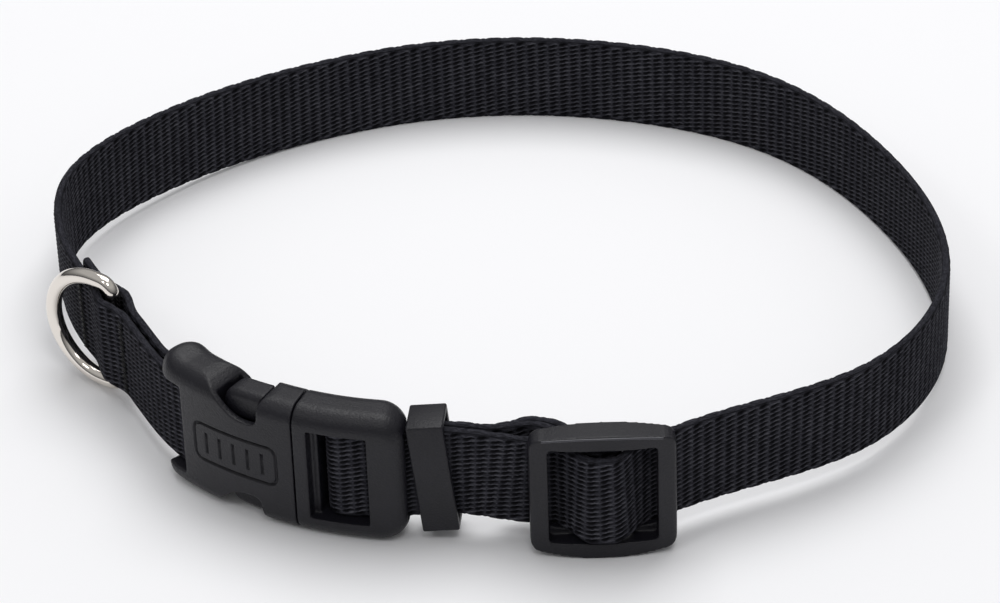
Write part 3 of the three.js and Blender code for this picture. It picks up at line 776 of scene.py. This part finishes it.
# Acetal along the parting line: glossier than the texture round it, and painted paler, a painted highlight
# along the edge
bead_highlight, bead_highlight_shader = new_finish("acetal_black_painted_highlight")
bead_highlight_shader.inputs["Base Color"].default_value = linear("#3a3a40")
bead_highlight_shader.inputs["Roughness"].default_value = 0.24
bead.data.materials.append(bead_highlight)
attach(bead, "collar")


# D-ring
# Round steel wire bent to a D and butt welded, then nickel plated. Its straight bar lies in the strap's
# sewn pocket, and the bow hangs free for the lead.

ring_wire = 1.45 * mm
ring_half = 11.75 * mm
ring_corner = 2.6 * mm
ring_arm = 4.3 * mm
strap_heading = -58.2066
ring_hang = 21
corner = []
for i in range(9):
    turn = i * math.pi / 16
    corner.append((ring_corner * (1 - math.cos(turn)), ring_half - ring_corner * (1 - math.sin(turn))))
bow_points = [(ring_arm + ring_half * math.sin(math.pi * i / 40), ring_half * math.cos(math.pi * i / 40))
              for i in range(41)]
ring_points = corner + bow_points + [(x, -z) for x, z in reversed(corner)]
ring_points += [(0, -5 * mm), (0, 0), (0, 5 * mm)]
ring_guide = route_curve("ring_wire", [Vector((x, 0, z)) for x, z in ring_points], closed=True)
ring_guide.data.resolution_u = 3
ring_guide.data.twist_mode = "MINIMUM"
for knot in ring_guide.data.splines[0].bezier_points:
    knot.radius = 1 + 0.09 * ramp(knot.co.x, 0, 9)
ring_guide.data.bevel_depth = ring_wire
ring_guide.data.bevel_resolution = 6
take(ring_guide)
bpy.ops.object.convert(target="MESH")
ring_heading = math.radians(strap_heading + 180 + ring_hang)
ring_guide.matrix_world = Matrix.Translation(ring_bar) @ Matrix.Rotation(ring_heading, 4, "Z")
ring = settle("d_ring_wire")
edit(ring)
bpy.ops.mesh.select_all(action="SELECT")
bpy.ops.mesh.remove_doubles(threshold=0.005 * mm)
bpy.ops.mesh.normals_make_consistent(inside=False)
smooth(ring)

# Bright nickel plate: a warm white mirror, very slightly dulled by handling. The haze of fine rubbing
# marks is drawn over a millimetre wide, far coarser than real ones.
nickel, nickel_shader = new_finish("nickel_plated_steel")
spot = add_node(nickel, "TexCoord")
haze = add_node(nickel, "TexNoise", {"Vector": spot.outputs["Object"]}, in_Scale=0.7 / mm, in_Detail=3.0)
dull = add_node(nickel, "MapRange", {0: haze.outputs["Fac"]}, in_3=0.04, in_4=0.12)
nickel.node_tree.links.new(dull.outputs[0], nickel_shader.inputs["Roughness"])
nickel_shader.inputs["Base Color"].default_value = linear("#e6e0d8")
nickel_shader.inputs["Metallic"].default_value = 1
ring.data.materials.append(nickel)
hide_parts("d_ring")
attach(ring, "ring")


# Studio
# A sheet of white paper under a large soft light overhead, and the camera of the photograph.

deselect()
bpy.ops.mesh.primitive_plane_add(size=6, location=(0, 0, -0.05 * mm))
floor = settle("paper_floor")
paper, paper_shader = new_finish("white_paper")
paper_shader.inputs["Base Color"].default_value = linear("#f4f4f6")
paper_shader.inputs["Roughness"].default_value = 0.9
floor.data.materials.append(paper)

world = bpy.data.worlds.new("studio")
bpy.context.scene.world = world
world.use_nodes = True
sky = add_node(world, "TexCoord")
up = add_node(world, "SeparateXYZ", {0: sky.outputs["Generated"]})
dome = add_node(world, "ValToRGB", {0: up.outputs["Z"]})
dome.color_ramp.elements[0].color = (0.16, 0.16, 0.17, 1)
dome.color_ramp.elements[0].position = 0.05
dome.color_ramp.elements[1].color = (1, 1, 1, 1)
dome.color_ramp.elements[1].position = 0.58
world.node_tree.links.new(dome.outputs[0], world.node_tree.nodes["Background"].inputs["Color"])
world.node_tree.nodes["Background"].inputs["Strength"].default_value = 0.47
bpy.context.scene.view_settings.view_transform = "Standard"

# Each lamp's place, width and watts: the large softbox, and two small ones that edge the plastic
lamps = (
    ("overhead", (0.06, 0.36, 1.08), 0.9, 8.7),
    ("front_window", (0.05, -0.5, 0.75), 0.16, 0.7),
    ("side_window", (-0.45, -0.45, 0.7), 0.16, 0.5),
)
for name, place, size, power in lamps:
    bpy.ops.object.light_add(type="AREA", location=place)
    lamp = bpy.context.object
    lamp.name = name
    lamp.data.size = size
    lamp.data.energy = power
    lamp.rotation_euler = (-Vector(place)).to_track_quat("-Z", "Y").to_euler()

focal_pixels = 4171
frame_width = 1000
sensor = 36
look_at = Vector((0.29, 6.71, 0)) * mm
elevation = math.radians(34)
distance = 844 * mm
roll = math.radians(2)
eye = look_at + distance * Vector((0, -math.cos(elevation), math.sin(elevation)))
bpy.ops.object.camera_add(location=eye)
camera = bpy.context.object
camera.data.lens = focal_pixels / frame_width * sensor
camera.data.sensor_width = sensor
facing = (look_at - eye).to_track_quat("-Z", "Y").to_matrix()
camera.rotation_euler = (facing @ Matrix.Rotation(-roll, 3, "Z")).to_euler()
bpy.context.scene.camera = camera

for guide in (strap_guide, buckle_guide):
    bpy.data.objects.remove(guide)
